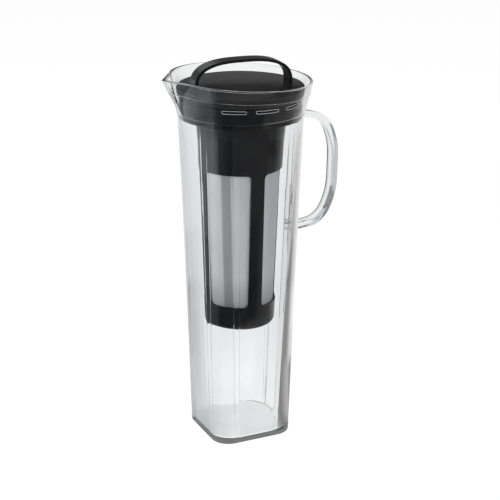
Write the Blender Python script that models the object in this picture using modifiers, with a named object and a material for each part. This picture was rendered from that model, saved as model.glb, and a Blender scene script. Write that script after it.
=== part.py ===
"""Cold brew coffee maker: a tall clear carafe with a hanging filter basket, a slotted pour ring and a lid.

Units are metres and +Z is up. The origin is the centre of the carafe's underside. +X points to the
carafe's handle and -X to its pouring spout.
"""

import math

import bpy
import bmesh
from mathutils import Vector

OBJECT_NAME = "cold_brew_coffee_maker"

# Gaps between pieces that touch or pass one another
SEAT_GAP = 0.0003
CUT_OVERRUN = 0.004
MERGE_DISTANCE = 0.00001

# Carafe body: a rounded square at the base, drawn up into a round neck
BASE_HALF_SIDE = 0.0332
BASE_CORNER_RADIUS = 0.0145
CORNER_BULGE = 0.0026
BODY_WALL = 0.0025
FLOOR_THICKNESS = 0.0040
FOOT_ROUND = 0.0016
FLOOR_ROUND = 0.0030
NECK_HEIGHT = 0.2600
NECK_RADIUS = 0.0483

# Carafe collar: it flares from the neck to a rim that rises towards the spout
COLLAR_HEIGHT = 0.0300
COLLAR_WALL = 0.0018
RIM_WALL = 0.0024
CREASE_HEIGHT = 0.0200
CREASE_FLARE = 0.0048
RIM_FLARE = 0.0018
RIM_LIP_ROUND = 0.0009
RIM_TILT_DEG = 3.13
NECK_WALL = 0.0022
SEAT_RISE = 0.0047

# Spout: two flat walls that meet in a keel below the tip
SPOUT_REACH = 0.0098
SPOUT_FOOT_SETBACK = 0.0011
SPOUT_HALF_ANGLE_DEG = 57.0

# Carafe handle: a rounded bar whose two feet are bonded to the carafe's flat side
HANDLE_REACH = 0.0321
HANDLE_SPAN = 0.0900
HANDLE_DROP = 0.0046
HANDLE_WIDTH = 0.0105
HANDLE_THICKNESS = 0.0062
HANDLE_EDGE_ROUND = 0.0022
HANDLE_PATH_SHARES = (
    (-0.26, 0.0, 0.86),
    (0.302, 0.004, 0.86),
    (0.70, 0.069, 0.94),
    (0.922, 0.21, 1.0),
    (1.0, 0.482, 1.0),
    (0.869, 0.816, 1.0),
    (0.561, 0.964, 1.0),
    (0.178, 1.0, 1.0),
    (-0.383, 1.0, 1.0),
)

# Filter frame: a flange that hangs on the carafe's seat, and a tapered basket with four windows
LIP_CLEARANCE = 0.0005
LIP_HEIGHT = 0.0029
LIP_ROUND = 0.0006
GROOVE_HEIGHT = 0.0018
GROOVE_DEPTH = 0.0012
FLANGE_CLEARANCE = 0.0006
FLANGE_HEIGHT = 0.0042
FLANGE_WALL = 0.0010
FLANGE_EDGE_ROUND = 0.0005
PLATE_THICKNESS = 0.0022
BASKET_TOP_RADIUS = 0.0339
BASKET_BOTTOM_RADIUS = 0.0270
BASKET_DEPTH = 0.1673
BASKET_WALL = 0.0018
BASKET_FLOOR = 0.0020
BASKET_BOTTOM_ROUND = 0.0042
BASKET_TOP_FILLET = 0.0015
BAND_HEIGHT = 0.0395
WINDOW_HEIGHT = 0.1088
WINDOW_CORNER_RADIUS = 0.0035
POST_WIDTH = 0.0108

# Filter mesh: one thin panel behind each window
MESH_THICKNESS = 0.0004
MESH_LAP = 0.0030

# Neck seal: a soft ring in the flange's groove
SEAL_BULGE = 0.0005

# Pour ring: a slotted ring that turns on the flange and plugs into the lid
RING_STEP = 0.0004
RING_HEIGHT = 0.0064
RING_WALL = 0.0020
RING_SHELF = 0.0010
RING_SHOULDER = 0.0014
SPIGOT_WALL = 0.0016
LOWER_SPIGOT_DEPTH = 0.0036
UPPER_SPIGOT_HEIGHT = 0.0030
SLOT_COUNT = 3
SLOT_PITCH_DEG = 31.0
SLOT_CENTRE_DEG = -90.0
SLOT_LENGTH = 0.0180
SLOT_HEIGHT = 0.0021
SLOT_RISE = 0.0032

# Lid cap: a shallow bowl-sided cover
CAP_STEP = 0.0003
CAP_CLEARANCE = 0.0029
CAP_HEIGHT = 0.0071
CAP_WALL = 0.0022
CAP_EDGE_ROUND = 0.0007
CAP_DOME = 0.0010

# Lid handle: an arched strap whose barbed feet pass through the cap
STRAP_TURN_DEG = -4.5
STRAP_OFFSET = 0.0005
STRAP_INSET = 0.0091
STRAP_RISE = 0.0209
STRAP_WIDTH = 0.0120
STRAP_CROWN_THICKNESS = 0.0021
STRAP_LEG_THICKNESS = 0.0026
STRAP_CURVE_POWER = 2.8
STRAP_EDGE_ROUND = 0.0006
BARB_REACH = 0.0012
BARB_HEIGHT = 0.0012

# Fineness of the round shapes
BODY_SIDES = 64
BODY_RING_SHARES = (0.06, 0.2, 0.4, 0.6, 0.8)
ROUND_STEPS = 60
PANEL_STEPS = 13
ARCH_STEPS = 28
DOME_STEPS = 3
HANDLE_STEPS = 5
ROUNDING_STEPS = 3


def share_between(low, high, share):
    return low + (high - low) * share


def arc(centre_x, centre_z, radius_x, radius_z, start_deg, end_deg, steps=ROUNDING_STEPS):
    """Points of an elliptical arc in the XZ plane, with both ends."""
    points = []
    for step in range(steps + 1):
        angle = math.radians(share_between(start_deg, end_deg, step / steps))
        points.append((centre_x + radius_x * math.cos(angle), centre_z + radius_z * math.sin(angle)))
    return points


def new_collection(name):
    collection = bpy.data.collections.new(name)
    bpy.context.scene.collection.children.link(collection)
    return collection


def new_material(name, colour, roughness, transmission=0.0, ior=1.5):
    material = bpy.data.materials.new(name)
    material.use_nodes = True
    shader = material.node_tree.nodes["Principled BSDF"]
    shader.inputs["Base Color"].default_value = (*colour, 1.0)
    shader.inputs["Roughness"].default_value = roughness
    shader.inputs["Metallic"].default_value = 0.0
    shader.inputs["Transmission Weight"].default_value = transmission
    shader.inputs["IOR"].default_value = ior
    return material


def new_object(name, data, collection, material=None, parent=None):
    piece = bpy.data.objects.new(name, data)
    collection.objects.link(piece)
    piece.parent = parent
    if material is not None:
        data.materials.append(material)
    return piece


def new_joint(name, height, collection, parent=None):
    """An empty on the carafe's axis, at a height above its parent, that carries the pieces that move with it."""
    joint = bpy.data.objects.new(name, None)
    joint.empty_display_size = NECK_RADIUS
    joint.location.z = height
    joint.parent = parent
    collection.objects.link(joint)
    return joint


def shade_round(mesh, sharp_deg=35.0):
    mesh.shade_smooth()
    mesh.set_sharp_from_angle(angle=math.radians(sharp_deg))


def turned(name, profile, collection, material, parent, closed=False):
    """A turned piece. Its profile runs down the outer side."""
    count = len(profile)
    edges = [(index, index + 1) for index in range(count - 1)]
    if closed:
        edges.append((count - 1, 0))
    mesh = bpy.data.meshes.new(name)
    mesh.from_pydata([(x, 0.0, z) for x, z in profile], edges, [])
    piece = new_object(name, mesh, collection, material, parent)
    screw = piece.modifiers.new("turn", "SCREW")
    screw.steps = ROUND_STEPS
    screw.render_steps = ROUND_STEPS
    screw.use_merge_vertices = True
    screw.merge_threshold = MERGE_DISTANCE
    screw.use_smooth_shade = True
    return piece


def lofted(name, rings, collection, material=None):
    """A closed skin through rings of points, with a flat face on the first and the last."""
    built = bmesh.new()
    loops = [[built.verts.new(point) for point in ring] for ring in rings]
    count = len(loops[0])
    for lower, upper in zip(loops, loops[1:]):
        for index in range(count):
            following = (index + 1) % count
            built.faces.new((lower[index], lower[following], upper[following], upper[index]))
    built.faces.new(loops[0])
    built.faces.new(loops[-1])
    bmesh.ops.recalc_face_normals(built, faces=built.faces)
    mesh = bpy.data.meshes.new(name)
    built.to_mesh(mesh)
    built.free()
    shade_round(mesh)
    return new_object(name, mesh, collection, material)


def mesh_from_curve(curve_object, collection, material=None, parent=None):
    """The curve's solid as a mesh object of the same name and place, with its caps welded."""
    name = curve_object.name
    bpy.context.view_layer.update()
    evaluated = curve_object.evaluated_get(bpy.context.evaluated_depsgraph_get())
    mesh = bpy.data.meshes.new_from_object(evaluated)
    matrix = curve_object.matrix_world.copy()
    bpy.data.objects.remove(curve_object)
    built = bmesh.new()
    built.from_mesh(mesh)
    bmesh.ops.remove_doubles(built, verts=built.verts, dist=MERGE_DISTANCE)
    bmesh.ops.recalc_face_normals(built, faces=built.faces)
    built.to_mesh(mesh)
    built.free()
    mesh.name = name
    mesh.materials.clear()
    shade_round(mesh)
    piece = new_object(name, mesh, collection, material, parent)
    piece.matrix_local = matrix
    return piece


def outline_curve(name, points):
    """A closed flat outline."""
    curve = bpy.data.curves.new(name, "CURVE")
    curve.dimensions = "2D"
    spline = curve.splines.new("POLY")
    spline.points.add(len(points) - 1)
    for point, (x, y) in zip(spline.points, points):
        point.co = (x, y, 0.0, 1.0)
    spline.use_cyclic_u = True
    return curve


def upright_plate(name, outline, thickness, turn_deg, place, collection, material=None, parent=None):
    """A plate that stands on its outline's XZ plane and is turned about Z."""
    curve = outline_curve(name, outline)
    curve.fill_mode = "BOTH"
    curve.extrude = thickness / 2
    plate = new_object(name, curve, collection)
    plate.rotation_euler = (math.pi / 2, 0.0, math.radians(turn_deg))
    plate.location = place
    return mesh_from_curve(plate, collection, material, parent)


def as_cutter(piece):
    piece.hide_render = True
    piece.display_type = "WIRE"
    return piece


def box_cutter(name, low, high, collection, parent):
    built = bmesh.new()
    bmesh.ops.create_cube(built, size=1.0)
    for vertex in built.verts:
        vertex.co = [high[axis] if vertex.co[axis] > 0.0 else low[axis] for axis in range(3)]
    mesh = bpy.data.meshes.new(name)
    built.to_mesh(mesh)
    built.free()
    return as_cutter(new_object(name, mesh, collection, None, parent))


def cut(piece, cutter):
    boolean = piece.modifiers.new(cutter.name, "BOOLEAN")
    boolean.operation = "DIFFERENCE"
    boolean.solver = "EXACT"
    boolean.object = cutter


def body_half_side(height):
    return share_between(BASE_HALF_SIDE, NECK_RADIUS, height / NECK_HEIGHT)


def body_corner_radius(height):
    share = height / NECK_HEIGHT
    straight = share_between(BASE_CORNER_RADIUS, NECK_RADIUS, share)
    return min(straight + CORNER_BULGE * 4 * share * (1 - share), body_half_side(height))


def rounded_square_radius(half_side, corner, angle):
    """How far a rounded square's outline lies from its centre, at an angle from one of its sides."""
    turn = angle % (math.pi / 2)
    turn = min(turn, math.pi / 2 - turn)
    flat = half_side - corner
    if math.tan(turn) * half_side <= flat:
        return half_side / math.cos(turn)
    along = flat * (math.cos(turn) + math.sin(turn))
    return along + math.sqrt(along * along - 2 * flat * flat + corner * corner)


def collar_outer_radius(height):
    """The collar's round radius at a height above the neck."""
    if height <= CREASE_HEIGHT:
        return NECK_RADIUS + CREASE_FLARE * height / CREASE_HEIGHT
    above = (height - CREASE_HEIGHT) / (COLLAR_HEIGHT - CREASE_HEIGHT)
    return NECK_RADIUS + CREASE_FLARE + RIM_FLARE * above


def collar_wall(height):
    """The collar's wall, which thickens from the neck to the rim."""
    return share_between(COLLAR_WALL, RIM_WALL, height / COLLAR_HEIGHT)


def collar_inner_radius(height):
    return collar_outer_radius(height) - collar_wall(height)


def neck_bore():
    return NECK_RADIUS - NECK_WALL


def side_angles():
    """Angles all round, starting at the spout."""
    return [math.pi + 2 * math.pi * side / BODY_SIDES for side in range(BODY_SIDES)]


def body_ring(height, inset, level=None):
    """The body's outline at a height, drawn in by an inset, at that level or another."""
    half_side = body_half_side(height) - inset
    corner = body_corner_radius(height) - inset
    ring = []
    for angle in side_angles():
        radius = rounded_square_radius(half_side, corner, angle)
        z = height if level is None else level
        ring.append(Vector((radius * math.cos(angle), radius * math.sin(angle), z)))
    return ring


def round_ring(radius, height):
    return [Vector((radius * math.cos(a), radius * math.sin(a), height)) for a in side_angles()]


def collar_ring(height, inset, drop=0.0):
    """The collar's outline with its spout, at a height above the neck that tilts with the rim."""
    share = height / COLLAR_HEIGHT
    half_angle = math.radians(SPOUT_HALF_ANGLE_DEG)
    tip_reach = collar_outer_radius(COLLAR_HEIGHT) + SPOUT_REACH
    reach = share_between(NECK_RADIUS - SPOUT_FOOT_SETBACK, tip_reach, share)
    reach -= inset / math.sin(half_angle)
    tilt = math.tan(math.radians(RIM_TILT_DEG)) * share
    ring = []
    for angle in side_angles():
        radius = collar_outer_radius(height) - inset
        off_spout = abs(angle - math.pi)
        off_spout = min(off_spout, 2 * math.pi - off_spout)
        if off_spout < math.pi / 2 - half_angle:
            radius = max(radius, reach * math.sin(half_angle) / math.sin(half_angle + off_spout))
        x = radius * math.cos(angle)
        z = NECK_HEIGHT + height - tilt * x - drop
        ring.append(Vector((x, radius * math.sin(angle), z)))
    return ring


def outer_body_rings(inset=0.0):
    """The body's outside from the top of its rounded foot to the neck."""
    heights = [FOOT_ROUND] + [share * NECK_HEIGHT for share in BODY_RING_SHARES]
    return [body_ring(height, inset) for height in heights + [NECK_HEIGHT]]


def make_carafe_body(collection, material):
    foot = [
        body_ring(0.0, FOOT_ROUND * (1 - math.cos(turn)), FOOT_ROUND * (1 - math.sin(turn)))
        for turn in (math.pi / 2, math.pi / 4)
    ]
    collar_heights = (CREASE_HEIGHT / 2, CREASE_HEIGHT, (CREASE_HEIGHT + COLLAR_HEIGHT) / 2)
    outer_collar = [collar_ring(height, 0.0) for height in collar_heights]
    lip = []
    for centre, start in ((RIM_LIP_ROUND, 0.0), (RIM_WALL - RIM_LIP_ROUND, math.pi / 2)):
        for step in range(ROUNDING_STEPS):
            turn = start + step * math.pi / 2 / (ROUNDING_STEPS - 1)
            inset = centre - RIM_LIP_ROUND * math.cos(turn)
            lip.append(collar_ring(COLLAR_HEIGHT, inset, RIM_LIP_ROUND * (1 - math.sin(turn))))
    inner_collar = [collar_ring(height, collar_wall(height)) for height in reversed(collar_heights)]
    seat = [
        round_ring(collar_inner_radius(SEAT_RISE), NECK_HEIGHT + SEAT_RISE),
        round_ring(neck_bore(), NECK_HEIGHT + SEAT_RISE),
        round_ring(neck_bore(), NECK_HEIGHT),
    ]
    inner_body = [body_ring(share * NECK_HEIGHT, BODY_WALL) for share in reversed(BODY_RING_SHARES)]
    floor = []
    for step in range(ROUNDING_STEPS):
        turn = step * math.pi / 2 / (ROUNDING_STEPS - 1)
        inset = BODY_WALL + FLOOR_ROUND * (1 - math.cos(turn))
        level = FLOOR_THICKNESS + FLOOR_ROUND * (1 - math.sin(turn))
        floor.append(body_ring(FLOOR_THICKNESS + FLOOR_ROUND, inset, level))
    rings = foot + outer_body_rings() + outer_collar + lip + inner_collar + seat + inner_body + floor
    return lofted("carafe_body", rings, collection, material)


def handle_section():
    """The handle bar's rounded rectangle, to sweep along its path."""
    corner_x = HANDLE_THICKNESS / 2 - HANDLE_EDGE_ROUND
    corner_y = HANDLE_WIDTH / 2 - HANDLE_EDGE_ROUND
    points = []
    for side_x, side_y, start in ((1, 1, 0), (-1, 1, 90), (-1, -1, 180), (1, -1, 270)):
        centre = (side_x * corner_x, side_y * corner_y)
        points += arc(*centre, HANDLE_EDGE_ROUND, HANDLE_EDGE_ROUND, start, start + 90)
    return outline_curve("handle_section", points)


def make_carafe_handle(collection, helpers, material):
    path = bpy.data.curves.new("carafe_handle", "CURVE")
    path.dimensions = "2D"
    path.resolution_u = HANDLE_STEPS
    path.bevel_mode = "OBJECT"
    path.bevel_object = as_cutter(new_object("handle_section", handle_section(), helpers))
    path.use_fill_caps = True
    spline = path.splines.new("BEZIER")
    spline.bezier_points.add(len(HANDLE_PATH_SHARES) - 1)
    top = NECK_HEIGHT - HANDLE_DROP
    for point, (out_share, down_share, size_share) in zip(spline.bezier_points, HANDLE_PATH_SHARES):
        point.co = (NECK_RADIUS + out_share * HANDLE_REACH, top - down_share * HANDLE_SPAN, 0.0)
        point.handle_left_type = "AUTO"
        point.handle_right_type = "AUTO"
        point.radius = size_share
    bar = new_object("carafe_handle", path, collection)
    bar.rotation_euler.x = math.pi / 2
    handle = mesh_from_curve(bar, collection, material)
    cut(handle, as_cutter(lofted("handle_body_cutter", outer_body_rings(-SEAT_GAP), helpers)))
    return handle


def lip_radius():
    return neck_bore() - LIP_CLEARANCE


def groove_top():
    """The flange's underside, which rests on the collar's seat."""
    return SEAT_RISE + SEAT_GAP


def groove_bottom():
    return groove_top() - GROOVE_HEIGHT


def lip_foot():
    return groove_bottom() - LIP_HEIGHT


def flange_radius():
    return collar_inner_radius(groove_top()) - FLANGE_CLEARANCE


def groove_radius():
    return lip_radius() - GROOVE_DEPTH


def flange_bore():
    return groove_radius() - FLANGE_WALL


def flange_top():
    return groove_top() + FLANGE_HEIGHT


def basket_radius(depth):
    """The basket's outer radius at a depth below its plate's underside."""
    return share_between(BASKET_TOP_RADIUS, BASKET_BOTTOM_RADIUS, depth / BASKET_DEPTH)


def basket_inner_radius(depth):
    return basket_radius(depth) - BASKET_WALL


def make_filter_frame(collection, helpers, material, parent):
    plate_top = lip_foot() + PLATE_THICKNESS
    bottom = lip_foot() - BASKET_DEPTH
    inner_round = BASKET_BOTTOM_ROUND - BASKET_WALL
    floor_top = bottom + BASKET_FLOOR
    floor_radius = basket_inner_radius(BASKET_DEPTH - BASKET_FLOOR)
    profile = [(0.0, floor_top)]
    profile += arc(floor_radius - inner_round, floor_top + inner_round, inner_round, inner_round, -90.0, 0.0)
    profile += [(basket_inner_radius(-PLATE_THICKNESS), plate_top), (flange_bore(), plate_top)]
    profile += [(flange_bore(), flange_top())]
    profile += arc(
        flange_radius() - FLANGE_EDGE_ROUND, flange_top() - FLANGE_EDGE_ROUND,
        FLANGE_EDGE_ROUND, FLANGE_EDGE_ROUND, 90.0, 0.0, 2,
    )
    profile += [(flange_radius(), groove_top()), (groove_radius(), groove_top())]
    profile += [(groove_radius(), groove_bottom()), (lip_radius(), groove_bottom())]
    profile += arc(lip_radius() - LIP_ROUND, lip_foot() + LIP_ROUND, LIP_ROUND, LIP_ROUND, 0.0, -90.0, 2)
    fillet_centre = basket_radius(BASKET_TOP_FILLET) + BASKET_TOP_FILLET
    profile += arc(
        fillet_centre, lip_foot() - BASKET_TOP_FILLET, BASKET_TOP_FILLET, BASKET_TOP_FILLET, 90.0, 180.0
    )
    profile += arc(
        BASKET_BOTTOM_RADIUS - BASKET_BOTTOM_ROUND, bottom + BASKET_BOTTOM_ROUND,
        BASKET_BOTTOM_ROUND, BASKET_BOTTOM_ROUND, 0.0, -90.0, 4,
    )
    profile += [(0.0, bottom)]
    frame = turned("filter_frame", profile, collection, material, parent)
    near = POST_WIDTH / 2
    far = BASKET_TOP_RADIUS + CUT_OVERRUN
    window_top = lip_foot() - BAND_HEIGHT
    for number, (side_x, side_y) in enumerate(((1, 1), (-1, 1), (-1, -1), (1, -1)), start=1):
        across_x = sorted((side_x * near, side_x * far))
        across_y = sorted((side_y * near, side_y * far))
        low = (across_x[0], across_y[0], window_top - WINDOW_HEIGHT)
        high = (across_x[1], across_y[1], window_top)
        window = box_cutter(f"window_cutter_{number}", low, high, helpers, parent)
        corners = window.modifiers.new("corners", "BEVEL")
        corners.width = WINDOW_CORNER_RADIUS
        corners.segments = ROUNDING_STEPS
        cut(frame, window)


def make_filter_mesh(collection, material, parent):
    """A thin curved panel behind each window, lapping the frame all round."""
    depths = (BAND_HEIGHT - MESH_LAP, BAND_HEIGHT + WINDOW_HEIGHT + MESH_LAP)
    profile = [(basket_inner_radius(depth) - SEAT_GAP, 0.0, lip_foot() - depth) for depth in depths]
    margin = math.asin((POST_WIDTH / 2 - MESH_LAP) / basket_inner_radius(depths[1]))
    for number in range(4):
        name = f"filter_mesh_{number + 1}"
        mesh = bpy.data.meshes.new(name)
        mesh.from_pydata(profile, [(0, 1)], [])
        panel = new_object(name, mesh, collection, material, parent)
        panel.rotation_euler.z = number * math.pi / 2 + margin
        sweep = panel.modifiers.new("sweep", "SCREW")
        sweep.angle = math.pi / 2 - 2 * margin
        sweep.steps = PANEL_STEPS
        sweep.render_steps = PANEL_STEPS
        sweep.use_smooth_shade = True
        thicken = panel.modifiers.new("thickness", "SOLIDIFY")
        thicken.thickness = MESH_THICKNESS


def make_neck_seal(collection, material, parent):
    inner = groove_radius() + SEAT_GAP
    low = groove_bottom() + SEAT_GAP
    high = groove_top() - SEAT_GAP
    profile = [(inner, high)]
    profile += arc(lip_radius() - SEAT_GAP, (low + high) / 2, SEAL_BULGE, (high - low) / 2, 90, -90, 6)
    profile += [(inner, low)]
    turned("neck_seal", profile, collection, material, parent, closed=True)


def ring_radius():
    return flange_radius() - RING_STEP


def ring_top():
    return SEAT_GAP + RING_HEIGHT


def cap_bottom_radius():
    return ring_radius() - CAP_STEP


def cap_bore():
    return cap_bottom_radius() - CAP_WALL


def make_pour_ring(collection, helpers, material, parent):
    outer = ring_radius()
    inner = outer - RING_WALL
    shelf = ring_top() - RING_SHELF
    lower_spigot = flange_bore() - SEAT_GAP
    lower_end = SEAT_GAP - LOWER_SPIGOT_DEPTH
    upper_spigot = cap_bore() - SEAT_GAP
    upper_end = ring_top() + UPPER_SPIGOT_HEIGHT
    profile = [
        (upper_spigot, upper_end),
        (upper_spigot, ring_top()),
        (outer, ring_top()),
        (outer, SEAT_GAP),
        (lower_spigot, SEAT_GAP),
        (lower_spigot, lower_end),
        (lower_spigot - SPIGOT_WALL, lower_end),
        (lower_spigot - SPIGOT_WALL, SEAT_GAP + RING_SHOULDER),
        (inner, SEAT_GAP + RING_SHOULDER),
        (inner, shelf),
        (upper_spigot - SPIGOT_WALL, shelf),
        (upper_spigot - SPIGOT_WALL, upper_end),
    ]
    ring = turned("pour_ring", profile, collection, material, parent, closed=True)
    middle = (inner + outer) / 2
    for number in range(SLOT_COUNT):
        turn_deg = SLOT_CENTRE_DEG + (number - (SLOT_COUNT - 1) / 2) * SLOT_PITCH_DEG
        turn = math.radians(turn_deg)
        place = (middle * math.cos(turn), middle * math.sin(turn), SEAT_GAP + SLOT_RISE + SLOT_HEIGHT / 2)
        name = f"slot_cutter_{number + 1}"
        thickness = RING_WALL + CUT_OVERRUN
        slot = upright_plate(name, slot_outline(), thickness, turn_deg + 90, place, helpers, None, parent)
        cut(ring, as_cutter(slot))


def slot_outline():
    end = SLOT_HEIGHT / 2
    centre = SLOT_LENGTH / 2 - end
    return arc(centre, 0.0, end, end, -90, 90, 6) + arc(-centre, 0.0, end, end, 90, 270, 6)


def cap_top():
    return SEAT_GAP + CAP_HEIGHT


def cap_radius():
    """The cap's widest radius, a clearance inside the collar at the height where it sits."""
    return collar_inner_radius(flange_top() + ring_top() + cap_top()) - CAP_CLEARANCE


def cap_ceiling():
    return cap_top() - CAP_WALL


def dome(radius, base):
    """A shallow crown, from its centre to its edge."""
    shares = [step / DOME_STEPS for step in range(DOME_STEPS + 1)]
    return [(radius * share, base + CAP_DOME * (1 - share * share)) for share in shares]


def make_lid_cap(collection, helpers, material, parent):
    edge = cap_radius() - CAP_EDGE_ROUND
    side_top = cap_top() - CAP_EDGE_ROUND
    bulge = cap_radius() - cap_bottom_radius()
    profile = dome(edge, cap_top())
    profile += arc(edge, side_top, CAP_EDGE_ROUND, CAP_EDGE_ROUND, 90, 0)[1:]
    profile += arc(cap_bottom_radius(), side_top, bulge, side_top - SEAT_GAP, 0, -90, 4)[1:]
    profile += [(cap_bore(), SEAT_GAP)]
    profile += dome(cap_bore(), cap_ceiling())[::-1]
    cap = turned("lid_cap", profile, collection, material, parent)
    inner = strap_half_span() - STRAP_LEG_THICKNESS - SEAT_GAP
    outer = strap_half_span() + SEAT_GAP
    half_width = STRAP_WIDTH / 2 + SEAT_GAP
    for number, side in enumerate((1, -1), start=1):
        across = sorted((STRAP_OFFSET + side * inner, STRAP_OFFSET + side * outer))
        low = (across[0], -half_width, cap_ceiling() - CUT_OVERRUN)
        high = (across[1], half_width, cap_top() + CUT_OVERRUN)
        slot = box_cutter(f"foot_cutter_{number}", low, high, helpers, parent)
        slot.rotation_euler.z = math.radians(STRAP_TURN_DEG)
        cut(cap, slot)


def strap_half_span():
    return cap_radius() - STRAP_INSET


def arch(half_span, rise):
    """Points over a squared arch, from its right foot to its left one."""
    power = 2 / STRAP_CURVE_POWER
    points = []
    for step in range(ARCH_STEPS + 1):
        angle = math.pi * step / ARCH_STEPS
        across = abs(math.cos(angle)) ** power
        points.append((math.copysign(across, math.cos(angle)) * half_span, math.sin(angle) ** power * rise))
    return points


def strap_foot(side):
    """A barbed foot, from its outer face round to its inner one. It clips under the cap's ceiling."""
    outer = strap_half_span()
    barb_top = cap_ceiling() - cap_top() - SEAT_GAP
    barb_foot = barb_top - BARB_HEIGHT
    inner = outer - STRAP_LEG_THICKNESS
    points = ((outer, barb_top), (outer + BARB_REACH, barb_top), (outer, barb_foot), (inner, barb_foot))
    return [(side * x, z) for x, z in points]


def make_lid_handle(collection, material, parent):
    outer = arch(strap_half_span(), STRAP_RISE)
    inner = arch(strap_half_span() - STRAP_LEG_THICKNESS, STRAP_RISE - STRAP_CROWN_THICKNESS)
    outline = outer + strap_foot(-1) + inner[::-1] + strap_foot(1)[::-1]
    turn = math.radians(STRAP_TURN_DEG)
    place = (STRAP_OFFSET * math.cos(turn), STRAP_OFFSET * math.sin(turn), cap_top())
    strap = upright_plate(
        "lid_handle", outline, STRAP_WIDTH, STRAP_TURN_DEG, place, collection, material, parent
    )
    edges = strap.modifiers.new("edges", "BEVEL")
    edges.width = STRAP_EDGE_ROUND
    edges.segments = 2
    edges.limit_method = "ANGLE"
    edges.angle_limit = math.radians(60)


def clear_plastic():
    return new_material("clear_plastic", (0.93, 0.96, 0.97), 0.02, transmission=1.0, ior=1.55)


def gloss_black_plastic():
    return new_material("gloss_black_plastic", (0.012, 0.013, 0.015), 0.12)


def matte_black_plastic():
    return new_material("matte_black_plastic", (0.035, 0.036, 0.038), 0.55)


def filter_mesh_fabric():
    return new_material("filter_mesh_fabric", (0.55, 0.56, 0.57), 0.6)


def seal_rubber():
    return new_material("seal_rubber", (0.04, 0.04, 0.045), 0.7)


def build():
    for leftover in list(bpy.data.objects):
        bpy.data.objects.remove(leftover)
    pieces = new_collection(OBJECT_NAME)
    helpers = new_collection(f"{OBJECT_NAME}_cutters")
    clear = clear_plastic()
    gloss_black = gloss_black_plastic()
    matte_black = matte_black_plastic()
    make_carafe_body(pieces, clear)
    make_carafe_handle(pieces, helpers, clear)
    filter_lift = new_joint("filter_lift", NECK_HEIGHT, pieces)
    make_filter_frame(pieces, helpers, gloss_black, filter_lift)
    make_filter_mesh(pieces, filter_mesh_fabric(), filter_lift)
    make_neck_seal(pieces, seal_rubber(), filter_lift)
    lid_turn = new_joint("lid_turn", flange_top(), pieces, filter_lift)
    make_pour_ring(pieces, helpers, gloss_black, lid_turn)
    lid_lift = new_joint("lid_lift", ring_top(), pieces, lid_turn)
    make_lid_cap(pieces, helpers, matte_black, lid_lift)
    make_lid_handle(pieces, matte_black, lid_lift)


build()
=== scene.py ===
"""Cold brew coffee maker, dressed for a studio picture. Metres, +Z up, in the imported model's frame."""

import math

import bmesh
import bpy
from mathutils import Matrix, Vector


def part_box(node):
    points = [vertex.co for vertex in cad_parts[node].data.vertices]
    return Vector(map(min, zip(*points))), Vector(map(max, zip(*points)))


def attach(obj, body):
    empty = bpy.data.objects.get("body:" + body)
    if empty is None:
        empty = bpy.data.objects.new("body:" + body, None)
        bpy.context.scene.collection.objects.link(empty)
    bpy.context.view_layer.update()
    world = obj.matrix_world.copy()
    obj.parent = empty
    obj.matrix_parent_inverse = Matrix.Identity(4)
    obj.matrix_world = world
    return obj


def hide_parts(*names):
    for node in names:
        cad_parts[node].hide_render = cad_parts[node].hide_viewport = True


# Camera
CAMERA_PLACE = (-0.46365, -0.99162, 0.54554)
CAMERA_FORWARD = (0.4044, 0.8493, -0.3394)
CAMERA_UP = (0.1405, 0.3089, 0.9406)
SENSOR_WIDTH_MM = 36.0
LENS_MM = 106.44
CLIP_START = 0.01
CLIP_END = 100.0

# Turns
HALF_TURN_DEG = 180.0
FULL_TURN_DEG = 360.0
QUARTER_TURN = math.pi / 2

# Carafe body. The inner face's corners are fuller than the outer face's, by INNER_CORNER_EXTRA. The round bore
# under the neck has become the inner face BORE_BLEND_RINGS lower down.
BASE_HALF_SIDE = 0.0332
BASE_CORNER_RADIUS = 0.0145
INNER_CORNER_EXTRA = 0.0065
BODY_WALL = 0.0025
FLOOR_THICKNESS = 0.0040
FOOT_ROUND = 0.0009
FLOOR_ROUND = 0.0020
NECK_HEIGHT = 0.2600
NECK_RADIUS = 0.0483
COLLAR_HEIGHT = 0.0300
COLLAR_WALL = 0.0018
RIM_WALL = 0.0024
CREASE_HEIGHT = 0.0200
CREASE_FLARE = 0.0048
CREASE_BEAD_RADIUS = 0.0003
CREASE_BEAD_STEPS = 8
RIM_FLARE = 0.0018
RIM_LIP_ROUND = 0.0009
RIM_TILT_DEG = 3.13
NECK_WALL = 0.0022
SEAT_RISE = 0.0047
SPOUT_REACH = 0.0098
SPOUT_FOOT_SETBACK = 0.0011
SPOUT_HALF_ANGLE_DEG = 57.0
BODY_RING_COUNT = 24
COLLAR_RING_COUNT = 10
ROUNDING_STEPS = 6
SPOUT_ZONE_DEG = 36.0
SPOUT_STEP_DEG = 1.0
ROUND_STEP_DEG = 2.25
SHARP_EDGE_DEG = 24.0
BORE_BLEND_RINGS = 4

# The inner face's narrow upright facets, one each side of each corner: where they begin and end, in degrees
# off the middle of a side, and the fine groove at each of those edges. Other angles keep FACET_CLEAR_DEG away
# from an edge. FACET_TOLERANCE is in radians.
FACET_DEG = (25.5, 32.0)
FACET_GROOVE_DEPTH = 0.00018
FACET_GROOVE_DEG = 0.5
FACET_CLEAR_DEG = 0.8
FACET_TOLERANCE = 0.0002

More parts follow.
